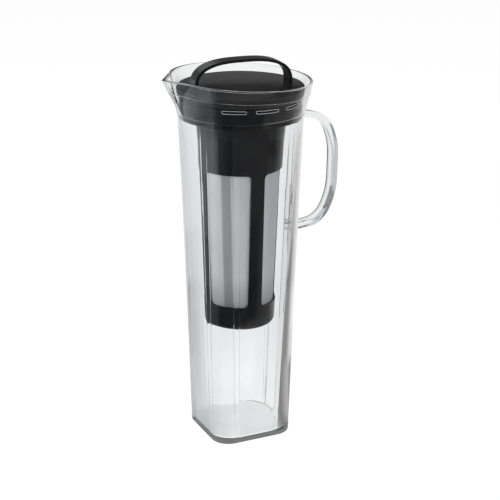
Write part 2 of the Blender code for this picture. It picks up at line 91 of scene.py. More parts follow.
# Carafe handle. Each step of its path is a share of its reach, a share of its span and a size of its section.
HANDLE_REACH = 0.0321
HANDLE_SPAN = 0.0900
HANDLE_DROP = 0.0046
HANDLE_WIDTH = 0.0105
HANDLE_THICKNESS = 0.0062
HANDLE_EDGE_ROUND = 0.0022
HANDLE_GAP = 0.00006
HANDLE_PATH_STEPS = 14
HANDLE_PATH_SHARES = (
    (-0.26, 0.0, 0.86),
    (0.302, 0.004, 0.86),
    (0.70, 0.069, 0.94),
    (0.922, 0.21, 1.0),
    (1.0, 0.482, 1.0),
    (0.869, 0.816, 1.0),
    (0.561, 0.964, 1.0),
    (0.178, 1.0, 1.0),
    (-0.383, 1.0, 1.0),
)

# Clear plastic: a tint that deepens with its thickness, and fine upright streaks. A bump is a strength and a
# depth in metres.
CLEAR_COLOUR = (0.99, 0.995, 1.0, 1.0)
CLEAR_IOR = 1.49
CLEAR_SPECULAR = 0.5
CLEAR_ROUGHNESS = (0.0, 0.015)
CLEAR_TINT = (0.30, 0.35, 0.35, 1.0)
CLEAR_TINT_DENSITY = 12.0
STREAK_STRETCH = (1.0, 1.0, 0.06)
STREAK_SCALE = 240.0
STREAK_DETAIL = 2.0
STREAK_BUMP = (0.10, 0.00010)

# Moulded plastics: darkest and lightest shade, roughness, how fine and how deep the grain is, specular level
PLASTICS = {
    "gloss_black_plastic": (
        (0.006, 0.0065, 0.008), (0.009, 0.010, 0.012), (0.20, 0.28), 900.0, 0.00001, 0.2,
    ),
    "matte_black_plastic": (
        (0.006, 0.0063, 0.0068), (0.009, 0.0093, 0.0098), (0.22, 0.30), 2600.0, 0.000012, 0.5,
    ),
    "lid_black_plastic": (
        (0.006, 0.0063, 0.0068), (0.009, 0.0093, 0.0098), (0.08, 0.12), 2600.0, 0.000004, 0.5,
    ),
    "seal_rubber": (
        (0.020, 0.020, 0.023), (0.032, 0.032, 0.036), (0.6, 0.8), 1800.0, 0.00002, 0.4,
    ),
    # Pale grey for the slots' rims: a painted highlight along their edges, not the plastic's own colour
    "slot_rim_painted_highlight": (
        (0.66, 0.68, 0.70), (0.78, 0.80, 0.82), (0.2, 0.3), 2500.0, 0.00001, 0.5,
    ),
}
PLASTIC_IOR = 1.5
CLOUD_SCALE = 55.0
CLOUD_SHADE_AT = (0.35, 0.7)
GRAIN_STRENGTH = 0.5

# The middle of a noise, which is spread over the whole of a range of roughness
NOISE_RANGE = (0.3, 0.7)

# How much rougher the lid's sides are than its top, and how far up a face looks where they give way to it
LID_SIDE_ROUGHER = 0.40
LID_TOP_FACING = (0.80, 0.95)

# Filter mesh: radians of wave in the weave to each radian round it and to each metre up it, then the folds
# and the threads
WARP_WAVES = 320.0
WEFT_WAVES = 10500.0
WEAVE_SHADE = 0.22
WEAVE_BUMP = (0.4, 0.00008)
FOLD_STRETCH = (1.0, 1.0, 0.15)
FOLD_SCALE = 60.0
THREAD_SHADES = ((0.25, (0.58, 0.59, 0.61)), (0.75, (0.80, 0.81, 0.82)))
THREAD_ROUGHNESS = (0.45, 0.7)
# Painted shade on it: darker soft upright bands by bearing in degrees, and painted shade near the bottom
MESH_PAINTED_SHADE_BANDS = (
    (-180, 0.92), (-146, 0.96), (-142, 0.52), (-131, 0.52), (-128, 0.98), (-100, 0.93), (-80, 0.88),
    (-50, 0.74), (-30, 0.80), (0, 0.90), (33, 0.7), (54, 0.84), (90, 0.8), (123, 0.7), (144, 0.85),
    (180, 0.92),
)
MESH_SHADE_HEIGHTS = (0.115, 0.137)
MESH_SHADE_LOW = 0.62
MESH_PANEL_COUNT = 4

# Fine rims round the pour ring's slots, whose pale colour is a painted highlight along the slots' edges
SLOT_COUNT = 3
SLOT_PITCH_DEG = 31.0
SLOT_CENTRE_DEG = -90.0
SLOT_LENGTH = 0.0180
SLOT_HEIGHT = 0.0021
SLOT_MIDDLE_HEIGHT = 0.27375
SLOT_END_STEPS = 8
SLOT_SIDE_STEPS = 14
SLOT_RIM_RADIUS = 0.00018
SLOT_RIM_SIDES = 8

# Studio: the floor's glow and lit paleness to the camera and its grey to the lamps, and the world's soft fill
FLOOR_RADIUS = 12.0
FLOOR_SIDES = 96
FLOOR_DROP = 0.0002
FLOOR_GLOW = 0.90
FLOOR_PALE = 0.18
FLOOR_GREY = 0.80
FLOOR_ROUGHNESS = 0.9
FLOOR_SPECULAR = 0.1
WORLD_FILL = 0.40

# What the object reflects: for bearings in degrees from +X towards +Y, how bright it is there. The floor has
# one such plan near the object and others beyond the distances in FLOOR_RINGS. The sky has a low one, which
# dims to SKY_ABOVE of itself over SKY_STEP, and a high one, which takes its place over HIGH_STEP.
SIDE_TINT = (0.95, 0.98, 1.02)
FRONT_TINT = (1.0, 0.99, 0.98)
FRONT_TINT_BEARINGS = (-152, 100)
LOW_SHINE = (
    (-180, 0.30), (-158, 0.35), (-148, 1.00), (-60, 1.00), (-42, 0.30), (-30, 0.20), (-16, 0.42),
    (-5, 0.50), (3, 0.28), (14, 0.38), (30, 0.60), (65, 0.80), (95, 0.60), (120, 0.58), (150, 0.40),
    (180, 0.30),
)
COLLAR_SHINE = (
    (-180, 0.20), (-160, 0.22), (-156, 0.02), (-76, 0.02), (-70, 0.28), (-45, 0.26), (-14, 0.28),
    (2, 0.90), (65, 1.00), (116, 0.40), (180, 0.20),
)
FAR_SHINE = (
    (-180, 0.65), (-158, 0.62), (-154, 0.12), (-68, 0.13), (-60, 0.26), (-28, 0.28), (-15, 0.20),
    (0, 0.70), (20, 0.90), (65, 1.00), (110, 0.60), (165, 0.65), (180, 0.65),
)
WIDE_SHINE = (
    (-180, 0.90), (-158, 1.15), (-154, 0.04), (-130, 0.05), (-126, 0.14), (-68, 0.16), (-64, 0.04),
    (-28, 0.05), (-15, 0.30), (0, 0.70), (20, 0.80), (65, 1.00), (110, 0.60), (165, 0.85), (180, 0.90),
)
FLOOR_RINGS = ((0.22, COLLAR_SHINE), (0.46, FAR_SHINE), (0.64, WIDE_SHINE))
RING_BLEND = 0.02
SKY_SHINE = (
    (-180, 0.40), (-158, 0.50), (-154, 0.30), (-50, 0.30), (-20, 0.25), (0, 0.30), (65, 0.19),
    (116, 0.30), (180, 0.40),
)
HIGH_SHINE = (
    (-180, 0.50), (-100, 0.50), (0, 0.60), (30, 0.60), (50, 0.10), (70, 0.10), (76, 0.70), (110, 0.70),
    (180, 0.50),
)
# The sky's heights are measured along a leaning line, so that the lid's two tones part on a slant.
SKY_LEAN = (0.0816, -0.0387, 1.0)
SKY_STEP = (0.226, 0.234)
SKY_ABOVE = 0.18
HIGH_STEP = (0.265, 0.285)

# What is seen through the clear plastic, by the angle to the right of a line straight back from the camera.
# On the floor that angle is seen from a place BENT_FROM in front of the object's axis.
BEHIND_DEG = 65.0
BENT_LIGHT = (
    (-180, 0.85), (-115, 0.75), (-80, 0.30), (-56, 0.14), (-42, 0.62), (-30, 0.64), (-17, 0.66),
    (-11, 0.82), (-4, 0.96), (8, 0.97), (16, 0.87), (24, 0.80), (36, 0.74), (46, 0.60), (58, 0.36),
    (80, 0.42), (115, 0.75), (180, 0.85),
)
BENT_FROM = 0.15

# Lamps: name, place, width, height and power
LAMP_TARGET = (0.0, 0.0, 0.15)
LAMPS = (
    ("top_softbox", (0.2, 0.3, 1.3), 1.0, 1.0, 5.0),
    ("left_softbox", (-1.0, 0.15, 0.5), 0.6, 0.9, 5.0),
    ("front_softbox", (0.5, -1.1, 0.6), 0.7, 0.9, 4.0),
)

# Render
LIGHT_BOUNCES = 24
GLOSSY_BOUNCES = 8

# Sockets of the colour Mix node, which share their names with its other kinds
MIX_FIRST, MIX_SECOND, MIX_RESULT = 6, 7, 2

WHITE = (1.0, 1.0, 1.0, 1.0)


def share_between(low, high, share):
    return low + (high - low) * share


def steps_between(low, high, count):
    return [share_between(low, high, step / count) for step in range(count + 1)]


def turn_share(degrees):
    """A bearing in degrees as a share of the way from -180 to 180."""
    return (degrees + HALF_TURN_DEG) / FULL_TURN_DEG


# Materials


def add_node(nodes, kind, **settings):
    node = nodes.new(kind)
    for name, value in settings.items():
        setattr(node, name, value)
    return node


def tune(node, **values):
    """Sets a node's sockets by name, with _ for each space."""
    for name, value in values.items():
        node.inputs[name.replace("_", " ")].default_value = value


def new_material(name):
    """(material, its nodes, its links, its Principled shader)."""
    material = bpy.data.materials.new(name)
    material.use_nodes = True
    tree = material.node_tree
    return material, tree.nodes, tree.links, tree.nodes["Principled BSDF"]


def colour_ramp(nodes, links, source, stops):
    ramp = nodes.new("ShaderNodeValToRGB")
    elements = ramp.color_ramp.elements
    while len(elements) < len(stops):
        elements.new(0.5)
    for element, (position, colour) in zip(elements, stops):
        element.position = position
        element.color = (*colour, 1.0)
    links.new(source, ramp.inputs["Fac"])
    return ramp.outputs["Color"]


def grey_ramp(nodes, links, source, stops):
    return colour_ramp(nodes, links, source, [(position, (grey, grey, grey)) for position, grey in stops])


def math_node(nodes, links, operation, *operands):
    node = add_node(nodes, "ShaderNodeMath", operation=operation)
    for socket, operand in zip(node.inputs, operands):
        if isinstance(operand, (int, float)):
            socket.default_value = operand
        else:
            links.new(operand, socket)
    return node.outputs[0]


def map_range(nodes, links, source, from_low, from_high, to_low, to_high):
    node = nodes.new("ShaderNodeMapRange")
    tune(node, From_Min=from_low, From_Max=from_high, To_Min=to_low, To_Max=to_high)
    links.new(source, node.inputs["Value"])
    return node.outputs["Result"]


def multiplied(nodes, links, first, second):
    node = add_node(nodes, "ShaderNodeVectorMath", operation="MULTIPLY")
    links.new(first, node.inputs[0])
    links.new(second, node.inputs[1])
    return node.outputs[0]


def place_on(nodes):
    return nodes.new("ShaderNodeTexCoord").outputs["Object"]


def stretched(nodes, links, place, stretch):
    mapping = nodes.new("ShaderNodeMapping")
    mapping.inputs["Scale"].default_value = stretch
    links.new(place, mapping.inputs["Vector"])
    return mapping.outputs["Vector"]


def noise(nodes, links, place, scale, detail=3.0, roughness=0.55):
    texture = nodes.new("ShaderNodeTexNoise")
    tune(texture, Scale=scale, Detail=detail, Roughness=roughness)
    links.new(place, texture.inputs["Vector"])
    return texture.outputs["Fac"]


def add_bump(nodes, links, shader, height, strength, depth):
    bump = nodes.new("ShaderNodeBump")
    tune(bump, Strength=strength, Distance=depth)
    links.new(height, bump.inputs["Height"])
    links.new(bump.outputs["Normal"], shader.inputs["Normal"])


def seen_by_ray(nodes, links, shown, looks):
    """The shader, with another look for some kinds of ray. Where two kinds meet, the later one counts."""
    path = nodes.new("ShaderNodeLightPath")
    for kind, look in looks:
        mix = nodes.new("ShaderNodeMixShader")
        links.new(path.outputs[kind], mix.inputs[0])
        links.new(shown, mix.inputs[1])
        links.new(look, mix.inputs[2])
        shown = mix.outputs[0]
    return shown


def clear_plastic():
    """Bends what is seen through it, while lamplight, soft light and reflections pass straight through."""
    material, nodes, links, shader = new_material("clear_plastic")
    flow = stretched(nodes, links, place_on(nodes), STREAK_STRETCH)
    streaks = noise(nodes, links, flow, STREAK_SCALE, STREAK_DETAIL)
    links.new(map_range(nodes, links, streaks, *NOISE_RANGE, *CLEAR_ROUGHNESS), shader.inputs["Roughness"])
    add_bump(nodes, links, shader, streaks, *STREAK_BUMP)
    tune(shader, Base_Color=CLEAR_COLOUR, IOR=CLEAR_IOR)
    tune(shader, Transmission_Weight=1.0, Specular_IOR_Level=CLEAR_SPECULAR)
    body = nodes.new("ShaderNodeVolumeAbsorption")
    tune(body, Color=CLEAR_TINT, Density=CLEAR_TINT_DENSITY)
    clear = nodes.new("ShaderNodeBsdfTransparent").outputs[0]
    passing = [(kind, clear) for kind in ("Is Diffuse Ray", "Is Reflection Ray", "Is Shadow Ray")]
    output = nodes["Material Output"]
    links.new(seen_by_ray(nodes, links, shader.outputs[0], passing), output.inputs["Surface"])
    links.new(body.outputs[0], output.inputs["Volume"])
    return material


def moulded_plastic(name):
    """Plastic that is cloudy in its shade and its gloss, with a fine moulded grain."""
    dark, light, roughness, grain, grain_depth, specular = PLASTICS[name]
    material, nodes, links, shader = new_material(name)
    place = place_on(nodes)
    clouds = noise(nodes, links, place, CLOUD_SCALE)
    shades = list(zip(CLOUD_SHADE_AT, (dark, light)))
    links.new(colour_ramp(nodes, links, clouds, shades), shader.inputs["Base Color"])
    links.new(map_range(nodes, links, clouds, *NOISE_RANGE, *roughness), shader.inputs["Roughness"])
    add_bump(nodes, links, shader, noise(nodes, links, place, grain), GRAIN_STRENGTH, grain_depth)
    tune(shader, IOR=PLASTIC_IOR, Specular_IOR_Level=specular)
    return material


def lid_plastic():
    """Black plastic with a smoother top than its sides."""
    material = moulded_plastic("lid_black_plastic")
    nodes, links = material.node_tree.nodes, material.node_tree.links
    shader = nodes["Principled BSDF"]
    smooth = shader.inputs["Roughness"].links[0].from_socket
    split = nodes.new("ShaderNodeSeparateXYZ")
    links.new(nodes.new("ShaderNodeTexCoord").outputs["Normal"], split.inputs[0])
    rougher = map_range(nodes, links, split.outputs["Z"], *LID_TOP_FACING, LID_SIDE_ROUGHER, 0.0)
    links.new(math_node(nodes, links, "ADD", smooth, rougher), shader.inputs["Roughness"])
    return material


def filter_mesh_fabric():
    """A square weave that runs round the basket and up it, with painted shade in upright bands and low down.
    """
    material, nodes, links, shader = new_material("filter_mesh_fabric")
    split = nodes.new("ShaderNodeSeparateXYZ")
    links.new(place_on(nodes), split.inputs[0])
    height = split.outputs["Z"]
    bearing = math_node(nodes, links, "ARCTAN2", split.outputs["Y"], split.outputs["X"])
    warp = math_node(nodes, links, "SINE", math_node(nodes, links, "MULTIPLY", bearing, WARP_WAVES))
    weft = math_node(nodes, links, "SINE", math_node(nodes, links, "MULTIPLY", height, WEFT_WAVES))
    weave = math_node(nodes, links, "MULTIPLY", warp, weft)
    folds = noise(nodes, links, stretched(nodes, links, place_on(nodes), FOLD_STRETCH), FOLD_SCALE)
    shade = math_node(nodes, links, "ADD", math_node(nodes, links, "MULTIPLY", weave, WEAVE_SHADE), folds)
    threads = colour_ramp(nodes, links, shade, THREAD_SHADES)
    turn = map_range(nodes, links, bearing, -math.pi, math.pi, 0.0, 1.0)
    # Painted shade: darker upright bands by bearing, then darker towards the bottom
    painted_bands = grey_ramp(nodes, links, turn, [(turn_share(degrees), grey) for degrees, grey in MESH_PAINTED_SHADE_BANDS])
    low = map_range(nodes, links, height, *MESH_SHADE_HEIGHTS, MESH_SHADE_LOW, 1.0)
    painted_bands = multiplied(nodes, links, painted_bands, low)
    links.new(multiplied(nodes, links, threads, painted_bands), shader.inputs["Base Color"])
    links.new(map_range(nodes, links, weave, -1.0, 1.0, *THREAD_ROUGHNESS), shader.inputs["Roughness"])
    add_bump(nodes, links, shader, weave, *WEAVE_BUMP)
    return material


# Shapes


def rounded_square_radius(half_side, corner, angle):
    turn = angle % QUARTER_TURN
    turn = min(turn, QUARTER_TURN - turn)
    flat = half_side - corner
    if math.tan(turn) * half_side <= flat:
        return half_side / math.cos(turn)
    along = flat * (math.cos(turn) + math.sin(turn))
    return along + math.sqrt(along * along - 2 * flat * flat + corner * corner)


def collar_outer_radius(height):
    if height <= CREASE_HEIGHT:
        return NECK_RADIUS + CREASE_FLARE * height / CREASE_HEIGHT
    above = (height - CREASE_HEIGHT) / (COLLAR_HEIGHT - CREASE_HEIGHT)
    return NECK_RADIUS + CREASE_FLARE + RIM_FLARE * above


def collar_wall(height):
    return share_between(COLLAR_WALL, RIM_WALL, height / COLLAR_HEIGHT)


def facet_edges():
    """Where the inner face's facets begin and end, in degrees all round."""
    edges = []
    for middle in (0.0, 90.0, 180.0, 270.0):
        for off in FACET_DEG:
            edges += [(middle - off) % FULL_TURN_DEG, middle + off]
    return edges


FACET_EDGES = facet_edges()


def side_angles():
    """Angles all round from the spout's middle, closer together across the spout, with the facets' edges."""
    turns = []
    turn = 0.0
    while turn < FULL_TURN_DEG:
        turns.append(turn)
        off_spout = min(turn, FULL_TURN_DEG - turn)
        turn += SPOUT_STEP_DEG if off_spout < SPOUT_ZONE_DEG else ROUND_STEP_DEG
    for edge in FACET_EDGES:
        turns = [turn for turn in turns if abs(turn - edge) > FACET_CLEAR_DEG]
        turns += [edge - FACET_GROOVE_DEG, edge, edge + FACET_GROOVE_DEG]
    return [math.radians(turn + HALF_TURN_DEG) for turn in sorted(turns)]


ANGLES = side_angles()


def body_radius(height, inset, angle, corner_extra=0.0):
    base = rounded_square_radius(BASE_HALF_SIDE - inset, BASE_CORNER_RADIUS - inset + corner_extra, angle)
    return share_between(base, NECK_RADIUS - inset, height / NECK_HEIGHT)


def body_ring(height, inset, level=None):
    """A ring of the body, which runs straight from the rounded square of its base to its round neck."""
    z = height if level is None else level
    ring = []
    for angle in ANGLES:
        radius = body_radius(height, inset, angle)
        ring.append(Vector((radius * math.cos(angle), radius * math.sin(angle), z)))
    return ring


def on_groove(angle):
    """Whether this angle is one of the facets' edges."""
    bearing = angle % (2 * math.pi)
    return any(abs(bearing - math.radians(edge)) < FACET_TOLERANCE for edge in FACET_EDGES)


def facet_ends(angle):
    """The angles of the two ends of the facet that this angle falls on, or None."""
    turn = angle % QUARTER_TURN
    start = angle - turn
    first, last = (math.radians(edge) for edge in FACET_DEG)
    for low, high in ((first, last), (QUARTER_TURN - last, QUARTER_TURN - first)):
        if low < turn < high:
            return start + low, start + high
    return None


def inner_radius(height, inset, angle):
    """The inner face's radius, on a groove, on the straight line across a facet, or elsewhere."""
    if on_groove(angle):
        return body_radius(height, inset, angle, INNER_CORNER_EXTRA) + FACET_GROOVE_DEPTH
    ends = facet_ends(angle)
    if ends is None:
        return body_radius(height, inset, angle, INNER_CORNER_EXTRA)
    low, high = (body_radius(height, inset, end, INNER_CORNER_EXTRA) for end in ends)
    past_low, before_high = math.sin(angle - ends[0]), math.sin(ends[1] - angle)
    return low * high * math.sin(ends[1] - ends[0]) / (low * past_low + high * before_high)


def inner_ring(height, inset, level):
    """A ring of the inner face, with fuller corners than outside and a flat facet each side of each one."""
    ring = []
    for angle in ANGLES:
        radius = inner_radius(height, inset, angle)
        ring.append(Vector((radius * math.cos(angle), radius * math.sin(angle), level)))
    return ring


def round_ring(radius, height):
    return [Vector((radius * math.cos(angle), radius * math.sin(angle), height)) for angle in ANGLES]


def collar_ring(height, inset, drop=0.0):
    """A ring of the collar. The spout is a wedge that stands out of the round, and the rim tilts up to it."""
    share = height / COLLAR_HEIGHT
    half_angle = math.radians(SPOUT_HALF_ANGLE_DEG)
    tip_reach = collar_outer_radius(COLLAR_HEIGHT) + SPOUT_REACH
    reach = share_between(NECK_RADIUS - SPOUT_FOOT_SETBACK, tip_reach, share)
    reach -= inset / math.sin(half_angle)
    tilt = math.tan(math.radians(RIM_TILT_DEG)) * share
    ring = []
    for angle in ANGLES:
        radius = collar_outer_radius(height) - inset
        off_spout = abs(angle % (2 * math.pi) - math.pi)
        if off_spout < QUARTER_TURN - half_angle:
            radius = max(radius, reach * math.sin(half_angle) / math.sin(half_angle + off_spout))
        x = radius * math.cos(angle)
        z = NECK_HEIGHT + height - tilt * x - drop
        ring.append(Vector((x, radius * math.sin(angle), z)))
    return ring


def lip_rings():
    """The rim's rounded top, from its outer face over to its inner one."""
    quarter = steps_between(0.0, QUARTER_TURN, ROUNDING_STEPS)
    rings = []
    for turn in quarter:
        inset = RIM_LIP_ROUND * (1 - math.cos(turn))
        rings.append(collar_ring(COLLAR_HEIGHT, inset, RIM_LIP_ROUND * (1 - math.sin(turn))))
    for turn in quarter:
        inset = RIM_WALL - RIM_LIP_ROUND * (1 - math.sin(turn))
        rings.append(collar_ring(COLLAR_HEIGHT, inset, RIM_LIP_ROUND * (1 - math.cos(turn))))
    return rings


def carafe_rings():
    """Rings from the foot up the outside, over the rim and down the inside to the inner floor."""
    quarter = steps_between(0.0, QUARTER_TURN, ROUNDING_STEPS)
    foot = [
        body_ring(0.0, FOOT_ROUND * (1 - math.sin(turn)), FOOT_ROUND * (1 - math.cos(turn)))
        for turn in quarter[:-1]
    ]
    outer = [body_ring(height, 0.0) for height in steps_between(FOOT_ROUND, NECK_HEIGHT, BODY_RING_COUNT)]
    below = steps_between(0.0, CREASE_HEIGHT, COLLAR_RING_COUNT)[1:]
    above = steps_between(CREASE_HEIGHT, COLLAR_HEIGHT, COLLAR_RING_COUNT)[:-1]
    outer_collar = [collar_ring(height, 0.0) for height in below[:-1]]
    for turn in steps_between(-QUARTER_TURN, QUARTER_TURN, CREASE_BEAD_STEPS):
        height = CREASE_HEIGHT + CREASE_BEAD_RADIUS * math.sin(turn)
        outer_collar.append(collar_ring(height, -CREASE_BEAD_RADIUS * math.cos(turn)))
    outer_collar += [collar_ring(height, 0.0) for height in above[1:]]
    collar_heights = [height for height in below + above[1:] if height > CREASE_HEIGHT / 2]
    inner_collar = [collar_ring(height, collar_wall(height)) for height in collar_heights[::-1]]
    bore = NECK_RADIUS - NECK_WALL
    seat = [
        round_ring(collar_outer_radius(SEAT_RISE) - collar_wall(SEAT_RISE), NECK_HEIGHT + SEAT_RISE),
        round_ring(bore, NECK_HEIGHT + SEAT_RISE),
        round_ring(bore, NECK_HEIGHT),
    ]
    floor_round_top = FLOOR_THICKNESS + FLOOR_ROUND
    inner_heights = steps_between(NECK_HEIGHT, floor_round_top, BODY_RING_COUNT)[BORE_BLEND_RINGS:]
    inner = [inner_ring(height, BODY_WALL, height) for height in inner_heights]
    floor = []
    for turn in quarter[1:]:
        inset = BODY_WALL + FLOOR_ROUND * (1 - math.cos(turn))
        level = FLOOR_THICKNESS + FLOOR_ROUND * (1 - math.sin(turn))
        floor.append(inner_ring(floor_round_top, inset, level))
    return foot + outer + outer_collar + lip_rings() + inner_collar + seat + inner + floor


def new_piece(name, mesh):
    piece = bpy.data.objects.new(name, mesh)
    bpy.context.scene.collection.objects.link(piece)
    return piece


def mesh_from(name, built):
    bmesh.ops.recalc_face_normals(built, faces=built.faces)
    mesh = bpy.data.meshes.new(name)
    built.to_mesh(mesh)
    built.free()
    mesh.shade_smooth()
    mesh.set_sharp_from_angle(angle=math.radians(SHARP_EDGE_DEG))
    return mesh


def lofted(name, rings, closed_round=False):
    """A skin through rings of points, closed on itself or with a flat face on the first and the last."""
    built = bmesh.new()
    loops = [[built.verts.new(point) for point in ring] for ring in rings]
    count = len(loops[0])
    pairs = list(zip(loops, loops[1:]))
    if closed_round:
        pairs.append((loops[-1], loops[0]))
    for lower, upper in pairs:
        for index in range(count):
            following = (index + 1) % count
            built.faces.new((lower[index], lower[following], upper[following], upper[index]))
    if not closed_round:
        built.faces.new(loops[0])
        built.faces.new(loops[-1])
    return new_piece(name, mesh_from(name, built))


def handle_path():
    """Points down the middle of the handle, each with how large the bar is there."""
    knots = []
    for out_share, down_share, size in HANDLE_PATH_SHARES:
        x = NECK_RADIUS + out_share * HANDLE_REACH
        z = NECK_HEIGHT - HANDLE_DROP - down_share * HANDLE_SPAN
        knots.append((Vector((x, 0.0, z)), size))
    path = bpy.data.curves.new("handle_path", "CURVE")
    path.dimensions = "3D"
    path.resolution_u = HANDLE_PATH_STEPS
    spline = path.splines.new("BEZIER")
    spline.bezier_points.add(len(knots) - 1)
    for point, (place, size) in zip(spline.bezier_points, knots):
        point.co = place
        point.handle_left_type = "AUTO"
        point.handle_right_type = "AUTO"
    guide = bpy.data.objects.new("handle_path", path)
    bpy.context.scene.collection.objects.link(guide)
    bpy.context.view_layer.update()
    line = guide.evaluated_get(bpy.context.evaluated_depsgraph_get()).to_mesh()
    places = [vertex.co.copy() for vertex in line.vertices]
    bpy.data.objects.remove(guide)
    last = len(knots) - 1
    points = []
    for index, place in enumerate(places):
        along = index / (len(places) - 1) * last
        knot = min(int(along), last - 1)
        points.append((place, share_between(knots[knot][1], knots[knot + 1][1], along - knot)))
    return points


def handle_section():
    """The bar's rounded rectangle, out from the path and across it."""
    half_thick = HANDLE_THICKNESS / 2 - HANDLE_EDGE_ROUND
    half_wide = HANDLE_WIDTH / 2 - HANDLE_EDGE_ROUND
    points = []
    for side_out, side_wide, start in ((1, 1, 0), (-1, 1, 90), (-1, -1, 180), (1, -1, 270)):
        for turn in steps_between(math.radians(start), math.radians(start + 90), ROUNDING_STEPS):
            points.append((
                side_out * half_thick + HANDLE_EDGE_ROUND * math.cos(turn),
                side_wide * half_wide + HANDLE_EDGE_ROUND * math.sin(turn),
            ))
    return points


def make_handle_bar():
    path = handle_path()
    places = [place for place, _ in path]
    section = handle_section()
    rings = []
    for index, (place, size) in enumerate(path):
        ahead = places[min(index + 1, len(places) - 1)] - places[max(index - 1, 0)]
        outward = Vector((-ahead.z, 0.0, ahead.x)).normalized()
        ring = []
        for out, wide in section:
            ring.append(place + outward * (out * size) + Vector((0.0, wide * size, 0.0)))
        rings.append(ring)
    return lofted("handle_bar", rings)


def apply_boolean(piece, other, operation):
    modifier = piece.modifiers.new("boolean", "BOOLEAN")
    modifier.operation = operation
    modifier.solver = "EXACT"
    modifier.object = other
    graph = bpy.context.evaluated_depsgraph_get()
    mesh = bpy.data.meshes.new_from_object(piece.evaluated_get(graph))
    piece.modifiers.clear()
    piece.data = mesh
    bpy.data.objects.remove(other)


def sharpen_facets(mesh):
    """Marks the upright edges of the inner face's facets as sharp."""
    bearings = [math.radians(edge) for edge in FACET_EDGES]
    for edge in mesh.edges:
        ends = [mesh.vertices[index].co for index in edge.vertices]
        if min(end.z for end in ends) < FLOOR_THICKNESS or max(end.z for end in ends) > NECK_HEIGHT:
            continue
        inside = []
        for end in ends:
            bearing = math.atan2(end.y, end.x) % (2 * math.pi)
            near = min(abs(bearing - other) for other in bearings)
            within = math.hypot(end.x, end.y) < body_radius(end.z, BODY_WALL / 2, bearing)
            inside.append(near < FACET_TOLERANCE and within)
        if all(inside):
            edge.use_edge_sharp = True


def make_carafe(material):
    """The carafe and its handle as one clear piece. The bar ends just short of the body's face."""
    carafe = lofted("carafe_clear", carafe_rings())
    bar = make_handle_bar()
    heights = steps_between(FOOT_ROUND, NECK_HEIGHT, BODY_RING_COUNT)
    root = lofted("handle_root", [body_ring(height, -HANDLE_GAP) for height in heights])
    apply_boolean(bar, root, "DIFFERENCE")
    built = bmesh.new()
    built.from_mesh(carafe.data)
    built.from_mesh(bar.data)
    built.to_mesh(carafe.data)
    built.free()
    bpy.data.objects.remove(bar)
    carafe.data.shade_smooth()
    carafe.data.set_sharp_from_angle(angle=math.radians(SHARP_EDGE_DEG))
    sharpen_facets(carafe.data)
    carafe.data.materials.clear()
    carafe.data.materials.append(material)
    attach(carafe, "carafe")
    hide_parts("carafe_body", "carafe_handle")


def slot_outline():
    """The slot's outline, on its own flat: across and up."""
    end = SLOT_HEIGHT / 2
    middle = SLOT_LENGTH / 2 - end
    points = [
        (middle + end * math.cos(turn), end * math.sin(turn))
        for turn in steps_between(-QUARTER_TURN, QUARTER_TURN, SLOT_END_STEPS)
    ]
    points += [(x, end) for x in steps_between(middle, -middle, SLOT_SIDE_STEPS)[1:-1]]
    points += [(-x, -z) for x, z in points[:SLOT_END_STEPS + 1]]
    points += [(x, -end) for x in steps_between(-middle, middle, SLOT_SIDE_STEPS)[1:-1]]
    return points


def make_slot_rim(number, material):
    """A fine raised rim round one slot, on the ring's round face, which carries a painted highlight."""
    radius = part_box("pour_ring")[1][0]
    turn = math.radians(SLOT_CENTRE_DEG + (number - (SLOT_COUNT - 1) / 2) * SLOT_PITCH_DEG)
    places = []
    for across, up in slot_outline():
        bearing = turn + math.asin(across / radius)
        x, y = radius * math.cos(bearing), radius * math.sin(bearing)
        places.append(Vector((x, y, SLOT_MIDDLE_HEIGHT + up)))
    rings = []
    for index, place in enumerate(places):
        ahead = (places[(index + 1) % len(places)] - places[index - 1]).normalized()
        outward = Vector((place.x, place.y, 0.0)).normalized()
        side = ahead.cross(outward).normalized()
        ring = []
        for step in range(SLOT_RIM_SIDES):
            spin = 2 * math.pi * step / SLOT_RIM_SIDES
            ring.append(place + SLOT_RIM_RADIUS * (math.cos(spin) * outward + math.sin(spin) * side))
        rings.append(ring)
    rim = lofted(f"slot_rim_{number + 1}", rings, closed_round=True)
    rim.data.materials.append(material)
    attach(rim, "pour_ring")


def paint(node, material):
    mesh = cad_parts[node].data
    mesh.materials.clear()
    mesh.materials.append(material)


# Studio


def shine_ramp(nodes, links, bearing, stops):
    turn = map_range(nodes, links, bearing, -math.pi, math.pi, 0.0, 1.0)
    front_from, front_to = FRONT_TINT_BEARINGS
    colours = []
    for degrees, grey in stops:
        tints = FRONT_TINT if front_from < degrees < front_to else SIDE_TINT
        colours.append((turn_share(degrees), tuple(grey * tint for tint in tints)))
    return colour_ramp(nodes, links, turn, colours)


def bearing_of(nodes, links, place):
    split = nodes.new("ShaderNodeSeparateXYZ")
    links.new(place, split.inputs[0])
    return math_node(nodes, links, "ARCTAN2", split.outputs["Y"], split.outputs["X"])


def mixed_colour(nodes, links, factor, first, second):
    mix = nodes.new("ShaderNodeMix")
    mix.data_type = "RGBA"
    links.new(factor, mix.inputs["Factor"])
    links.new(first, mix.inputs[MIX_FIRST])
    links.new(second, mix.inputs[MIX_SECOND])
    return mix.outputs[MIX_RESULT]


def dotted(nodes, links, place, direction):
    node = add_node(nodes, "ShaderNodeVectorMath", operation="DOT_PRODUCT")
    links.new(place, node.inputs[0])
    node.inputs[1].default_value = direction
    return node.outputs["Value"]


